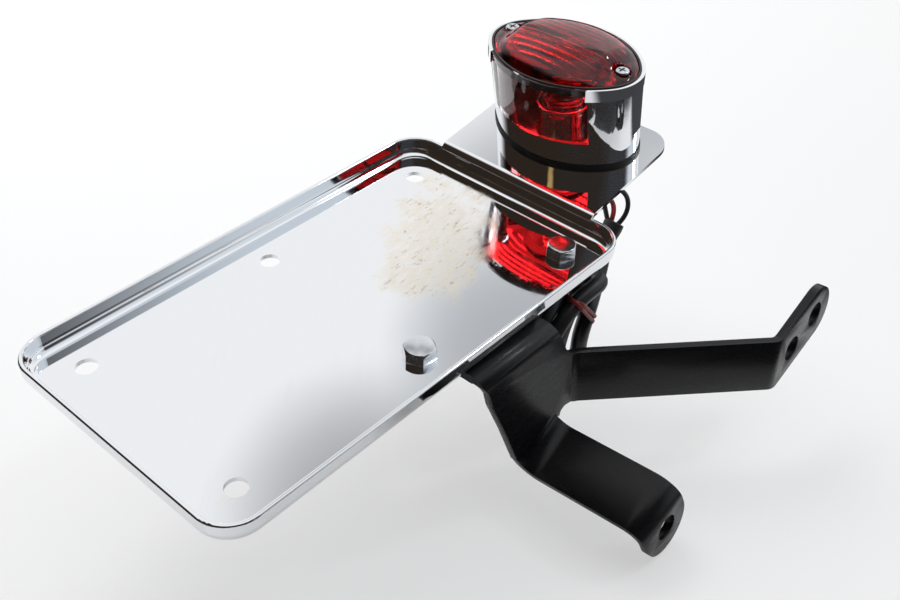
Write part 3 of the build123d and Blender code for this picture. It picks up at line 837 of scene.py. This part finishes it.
@dataclass
class Wiring:
    """The three leads, their sleeve, the folded spare length and its tie.

    Routes and sizes are in millimetres, places from the tray floor's centre. The sleeve runs from
    its mouth through the tie, round two bottom folds and a top fold, to its open end.
    """

    frame: dict
    lead_diameter: float = 1.8
    sleeve_diameter: float = 6.0
    leads: dict = field(
        default_factory=lambda: {
            "lead_red": (
                (113.7, -4.8, 8.9), (115.4, -4.8, -1.4), (110.9, -17.0, -5.3),
                (107.3, -25.0, 4.7), (105.4, -36.5, 5.4), (99.9, -36.9, -1.6),
            ),
            "lead_black_long": (
                (116.7, -4.8, 9.4), (118.5, -4.8, -0.9), (116.4, -17.0, -5.3),
                (111.0, -24.0, 6.8), (102.5, -31.0, 7.2), (100.2, -36.6, -1.8),
            ),
            "lead_black_short": (
                (115.2, -7.5, 9.2), (117.0, -7.5, -1.2), (113.0, -17.0, -2.6),
                (109.4, -25.0, 7.4), (109.7, -37.1, 9.0), (105.2, -40.9, 1.8), (100.7, -38.2, -2.2),
            ),
        }
    )
    sleeve: tuple = (
        (101.4, -37.8, -0.9), (96.6, -37.7, -6.6), (92.4, -40.2, -13.5), (85.0, -43.4, -16.8),
        (78.2, -46.8, -17.3), (72.6, -49.0, -20.6), (70.4, -48.8, -29.0), (71.0, -48.5, -38.0),
        (68.0, -47.5, -47.0), (58.0, -47.0, -49.5), (50.5, -47.0, -43.0), (50.5, -47.3, -31.0),
        (52.0, -48.4, -20.0), (57.5, -48.8, -13.5), (64.5, -49.3, -9.3), (71.0, -50.0, -7.6),
        (77.2, -50.2, -7.4), (80.8, -46.4, -9.4), (77.8, -42.0, -12.4), (70.0, -45.0, -13.6),
        (65.3, -45.6, -18.0), (63.6, -44.6, -27.0), (64.4, -43.4, -37.0), (61.5, -41.6, -44.5),
        (53.5, -41.0, -46.0), (47.2, -42.0, -38.0), (46.6, -43.4, -26.0), (50.5, -44.5, -15.0),
        (56.5, -43.9, -9.6), (64.0, -43.0, -8.9),
    )
    collar_wall: tuple = (
        (3.05, 3.0), (2.75, -0.3), (3.0, -0.9), (3.6, -0.8), (3.8, 0.2),
        (3.7, 4.4), (3.35, 5.6), (3.06, 6.2), (3.04, 4.5),
    )
    tie_strands: tuple = ((72.4, -49.1, -19.7), (64.5, -49.3, -9.3), (67.4, -45.8, -14.8))
    tie_across: tuple = (0.634, 0.0, -0.773)
    tie_width: float = 1.5
    tie_thickness: float = 0.6
    tails: tuple = (
        ((61.5, -42.4, -8.4), (68.0, -41.6, -7.9), (71.5, -45.8, -6.6)),
        ((61.5, -43.7, -9.9), (68.6, -41.2, -10.2), (70.2, -41.4, -16.5)),
        ((61.5, -42.8, -9.4), (67.6, -40.4, -9.2), (67.4, -37.0, -13.5)),
    )

    def build(self) -> None:
        red_skin, worn_red = (0.36, 0.012, 0.014, 1), (0.45, 0.03, 0.03, 1)
        black = SoftPlastic(Slot.BLACK_LEAD, roughness=0.3).material()
        red = SoftPlastic(Slot.RED_LEAD, red_skin, worn_red, roughness=0.3).material()
        for name, route in self.leads.items():
            skin, slot = (red, Slot.RED_LEAD) if name == "lead_red" else (black, Slot.BLACK_LEAD)
            piece = self.cord(name + "_wire", at_tray(route), self.lead_diameter, skin)
            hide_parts(name)
            self.length(piece)
        soft_black, worn_black = (0.016, 0.016, 0.018, 1), (0.03, 0.03, 0.032, 1)
        skin = SoftPlastic(Slot.SLEEVE, soft_black, worn_black, roughness=0.3, grain=220.0)
        route = at_tray(self.sleeve)
        sleeve = self.cord("sleeve_run", route, self.sleeve_diameter, skin.material())
        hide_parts("cable_sleeve", "sleeve_hank")
        extras = [self.collar(), self.tie()]
        for number, tail in enumerate(self.tails):
            extras.append(self.tail(number, tail, red if number == 0 else black))
        self.length(sleeve)

    def collar(self) -> Piece:
        """Shrink a short collar round the sleeve's mouth.

        The collar is a closed ring wall, its profile's knots being radius and height along the
        sleeve's first run. Outside, five shallow creases wind round it, a sine of turn and height.
        """
        start, end = np.array(self.sleeve[0]), np.array(self.sleeve[1])
        along = (end - start) / np.linalg.norm(end - start)
        across = np.cross(along, (0, 1, 0))
        across /= np.linalg.norm(across)
        seat = Seat(tuple(start + TRAY_CENTRE), tuple(across), tuple(np.cross(along, across)))
        knots = np.array(self.collar_wall + self.collar_wall[:1])
        path = smooth_path(knots, 61)[:-1]
        turn = np.linspace(0, 2 * np.pi, 48, endpoint=False)
        crease = 1 + 0.012 * np.sin(5 * turn + path[:, 1:] * 1.3)
        radius = path[:, :1] * np.where(path[:, :1] > 3.2, crease, 1.0)
        height = np.broadcast_to(path[:, 1:], radius.shape)
        stack = np.stack([radius * np.cos(turn), radius * np.sin(turn), height], axis=2)
        points = seat.place(stack.reshape(-1, 3))
        faces = grid_faces(len(path) + 1, len(turn)) % (len(path) * len(turn))
        rubber = SoftPlastic(Slot.RUBBER, roughness=0.35).material()
        piece = mesh_piece("shrunk_collar", points, faces, rubber, merge=0.00001)
        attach(piece, "root")
        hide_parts("sleeve_collar")
        return piece

    def tie(self) -> Piece:
        """Wrap a thin band twice round the strands of the folded length.

        The band follows the outline round the strands: at each direction, the strand that lies
        furthest that way plus the strand's radius. Over two rounds it swings to each side by the
        cosine, and in and out by the sine, of half the turn, so the rounds cross at one end and
        part at the other. Its section is a flat oval.
        """
        across, depth = np.array(self.tie_across), np.array((0.0, 1.0, 0.0))
        along = np.cross(across, depth)
        strands = np.array(self.tie_strands)
        middle = strands.mean(axis=0)
        flat = np.stack([(strands - middle) @ across, (strands - middle) @ depth], axis=1)
        turn = np.linspace(0, 4 * np.pi, 240, endpoint=False)
        way = np.stack([np.cos(turn), np.sin(turn)], axis=1)
        reach = self.sleeve_diameter / 2 + 0.35 + 0.3 * np.sin(turn / 2)
        centre = flat[np.argmax(way @ flat.T, axis=1)]
        kernel = np.hanning(11) / np.hanning(11).sum()
        wrapped = np.concatenate([centre[-5:], centre, centre[:5]])
        centre = np.stack([np.convolve(row, kernel, "valid") for row in wrapped.T], axis=1)
        line = centre + way * reach[:, None]
        swing = 1.2 * np.cos(turn / 2)
        section = np.linspace(0, 2 * np.pi, 12, endpoint=False)
        out = self.tie_thickness / 2 * np.cos(section)
        side = self.tie_width / 2 * np.sin(section)
        ring = line[:, None, :] + way[:, None, :] * out[None, :, None]
        shift = swing[:, None, None] + side[None, :, None]
        points = middle + ring[..., :1] * across + ring[..., 1:] * depth + shift * along
        faces = grid_faces(len(turn) + 1, len(section)) % (len(turn) * len(section))
        dull_red, worn_red = (0.22, 0.012, 0.01, 1), (0.34, 0.04, 0.03, 1)
        skin = SoftPlastic(Slot.TIE, dull_red, worn_red, roughness=0.4).material()
        points = at_tray(points.reshape(-1, 3))
        piece = mesh_piece("wrapped_tie", points, faces, skin, merge=0.000005)
        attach(piece, "root")
        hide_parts("hank_tie")
        return piece

    def tail(self, number: int, route: tuple, skin: Material) -> Piece:
        """Make one short end of a lead where it leaves the sleeve's open end."""
        piece = self.cord(f"lead_tail_{number}", at_tray(route), self.lead_diameter, skin)
        return piece

    def cord(self, name: str, points: np.ndarray, diameter: float, material: Material) -> Piece:
        """Make a cord: one smooth NURBS spline with a round section.

        Args:
            name: The piece's name.
            points: Control points in metres.
            diameter: The cord's diameter in millimetres.
            material: The cord's skin.

        Returns:
            The curve object.
        """
        curve = bpy.data.curves.new(name, "CURVE")
        curve.dimensions = "3D"
        curve.resolution_u = 12
        curve.bevel_depth = diameter / 2 * MM
        curve.bevel_resolution = 5
        curve.use_fill_caps = True
        spline = curve.splines.new("NURBS")
        spline.points.add(len(points) - 1)
        spline.points.foreach_set("co", np.c_[points, np.ones(len(points))].ravel())
        spline.order_u = 3
        spline.use_endpoint_u = True
        curve.materials.append(material)
        piece = bpy.data.objects.new(name, curve)
        bpy.context.scene.collection.objects.link(piece)
        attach(piece, "root")
        return piece

    def length(self, piece: Piece) -> float:
        """Measure a cord's centre line, as the sum of its evaluated steps without a section."""
        bare = piece.data.copy()
        bare.bevel_depth = 0.0
        probe = bpy.data.objects.new("probe", bare)
        mesh = bpy.data.meshes.new_from_object(probe)
        points = np.empty(len(mesh.vertices) * 3)
        mesh.vertices.foreach_get("co", points)
        steps = np.diff(points.reshape(-1, 3), axis=0)
        bpy.data.objects.remove(probe)
        bpy.data.curves.remove(bare)
        bpy.data.meshes.remove(mesh)
        return float(np.linalg.norm(steps, axis=1).sum())


@dataclass(frozen=True)
class Card:
    """A soft patch of the studio's sky: where it is, how wide and soft, and its shade."""

    azimuth: float
    elevation: float
    half_angle: float
    softness: float
    colour: tuple

    def direction(self) -> tuple:
        """Give the card's direction: azimuth from X towards Y, elevation above the floor."""
        turn, rise = math.radians(self.azimuth), math.radians(self.elevation)
        return (math.cos(turn) * math.cos(rise), math.sin(turn) * math.cos(rise), math.sin(rise))


@dataclass
class Studio:
    """The floor, the sky of soft cards, one soft lamp and the camera, all in metres.

    The cards are, in order: two grey ones over the tray's near side, the pale sky behind the
    bracket, three dark walls behind the lamp and the plate, one in front, a thin gold one that the
    lamp's foot mirrors, and a small bright one for the glints.
    """

    floor_height: float = -0.0125
    floor_half: float = 3.0
    # Middle and half width along X, and the near side along Y
    bright_floor: tuple = (-0.01, 0.19, -0.035)
    sky: tuple = (0.97, 0.98, 1.0, 1)
    cards: tuple = (
        Card(35, 42, 3, 5, (0.5, 0.52, 0.54, 1)),
        Card(46, 51, 4, 5, (0.45, 0.46, 0.47, 1)),
        Card(-40, 38, 24, 14, (0.72, 0.78, 0.84, 1)),
        Card(135, 20, 42, 8, (0.03, 0.021, 0.015, 1)),
        Card(180, 22, 44, 8, (0.03, 0.021, 0.015, 1)),
        Card(225, 20, 44, 8, (0.03, 0.024, 0.02, 1)),
        Card(-95, 26, 30, 8, (0.045, 0.045, 0.05, 1)),
        Card(170, 26, 3.2, 1, (0.5, 0.33, 0.13, 1)),
        Card(-27, 48, 2.5, 1.5, (30, 30, 30, 1)),
    )
    lamp_place: tuple = (0.25, 0.75, 0.75)
    lamp_aim: tuple = (0.0, 0.08, 0.05)
    lamp_size: tuple = (0.9, 0.6)
    lamp_power: float = 7.0
    focal: float = 43.059
    eye: tuple = (-0.221665, -0.090783, 0.280839)
    right: tuple = (0.663037, -0.748074, 0.027694)
    up: tuple = (0.461204, 0.437358, 0.772016)
    back: tuple = (-0.589637, -0.499103, 0.634999)

    def build(self) -> None:
        """Build the camera, the sky, the floor and the lamp."""
        self.camera()
        self.world()
        self.floor()
        self.light()

    def camera(self) -> None:
        """Set the camera where the photograph was taken from."""
        data = bpy.data.cameras.new("Camera")
        data.lens = self.focal
        data.sensor_width = 36.0
        data.sensor_fit = "HORIZONTAL"
        data.clip_start = 0.01
        data.clip_end = 50.0
        camera = bpy.data.objects.new("Camera", data)
        turn = Matrix((self.right, self.up, self.back)).transposed().to_4x4()
        turn.translation = self.eye
        camera.matrix_world = turn
        bpy.context.scene.collection.objects.link(camera)
        bpy.context.scene.camera = camera

    def world(self) -> None:
        """Build the sky: white to the camera, and soft cards for what is lit and mirrored."""
        world = bpy.data.worlds.new("Studio")
        bpy.context.scene.world = world
        world.use_nodes = True
        nodes = NodeSheet(world.node_tree)
        way = nodes.add("TexCoord").outputs["Generated"]
        colour = self.sky
        for card in self.cards:
            ways = {0: way, 1: card.direction()}
            close = nodes.add("VectorMath", ways, operation="DOT_PRODUCT").outputs["Value"]
            inner = math.cos(math.radians(max(card.half_angle - card.softness, 0)))
            outer = math.cos(math.radians(card.half_angle + card.softness))
            colour = nodes.blend(nodes.ramp(close, outer, inner), colour, card.colour)
        camera = nodes.add("LightPath").outputs["Is Camera Ray"]
        lit = nodes.add("Background", {"Color": colour, "Strength": 1.0})
        seen = nodes.add("Background", {"Color": (1, 1, 1, 1), "Strength": 1.0})
        mix = nodes.add("MixShader", {0: camera, 1: lit.outputs[0], 2: seen.outputs[0]})
        nodes.add("OutputWorld", {"Surface": mix.outputs[0]})

    def floor(self) -> None:
        """Lay a wide pale floor just under the part.

        To the camera, and through the clear plastic, it glows towards white, more so further from
        the part, and its shadow stays. In mirrors it is bright inside a rectangle about the part
        and dark beyond: outside is the larger of the distances past the rectangle's sides.
        """
        corners = np.array([(-1, -1), (1, -1), (1, 1), (-1, 1)]) * self.floor_half
        points = np.c_[corners, np.full(4, self.floor_height)]
        material = bpy.data.materials.new("floor")
        material.use_nodes = True
        nodes = NodeSheet(material.node_tree)
        here = nodes.place()
        path = nodes.add("LightPath").outputs
        pale, paler = (0.84, 0.84, 0.85, 1), (0.88, 0.88, 0.88, 1)
        tone = nodes.blend(nodes.noise(here, 3.0, 2.0), pale, paler)
        paper = nodes.add("BsdfDiffuse", {"Color": tone})
        glow = nodes.add("Emission", {"Color": (1, 1, 1, 1), "Strength": 1.0})
        seeing = nodes.math("MAXIMUM", path["Is Camera Ray"], path["Is Transmission Ray"])
        seen = nodes.math("MULTIPLY", seeing, nodes.ramp(nodes.length(here), 0.2, 1.4, 0.5, 1.0))
        mirrored = nodes.math("MULTIPLY", path["Is Glossy Ray"], 0.2)
        share = nodes.math("ADD", seen, mirrored)
        mix = nodes.add("MixShader", {0: share, 1: paper.outputs[0], 2: glow.outputs[0]})
        middle, half_width, front = self.bright_floor
        spot = nodes.add("SeparateXYZ", {0: here}).outputs
        across = nodes.math("ABSOLUTE", nodes.math("SUBTRACT", spot[0], middle))
        beside = nodes.math("SUBTRACT", across, half_width)
        outside = nodes.math("MAXIMUM", beside, nodes.math("SUBTRACT", front, spot[1]))
        far = nodes.math("MULTIPLY", nodes.ramp(outside, 0.0, 0.03), path["Is Glossy Ray"])
        dark = nodes.add("BsdfDiffuse", {"Color": (0.06, 0.06, 0.065, 1)})
        edge = nodes.add("MixShader", {0: far, 1: mix.outputs[0], 2: dark.outputs[0]})
        nodes.close(edge.outputs[0])
        floor = mesh_piece("floor", points, np.array([[0, 1, 2, 3]]), material)

    def light(self) -> None:
        """Hang one large soft lamp above, behind the left of the part."""
        data = bpy.data.lights.new("soft_lamp", "AREA")
        data.shape = "RECTANGLE"
        data.size, data.size_y = self.lamp_size
        data.energy = self.lamp_power
        lamp = bpy.data.objects.new("soft_lamp", data)
        way = np.array(self.lamp_aim) - np.array(self.lamp_place)
        lamp.location = self.lamp_place
        lamp.rotation_mode = "QUATERNION"
        lamp.rotation_quaternion = Vector(way).to_track_quat("-Z", "Y")
        lamp.visible_glossy = False
        bpy.context.scene.collection.objects.link(lamp)


def main() -> None:
    """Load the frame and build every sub-assembly."""
    logging.basicConfig(level=logging.INFO, format="%(message)s")
    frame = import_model()
    bpy.context.scene.view_settings.view_transform = "Standard"
    Studio().build()
    for part in (Wiring(frame), Tray(frame), Bracket(frame), Lamp(frame)):
        part.build()
        LOG.info("built %s", type(part).__name__)


if __name__ == "__main__":
    main()
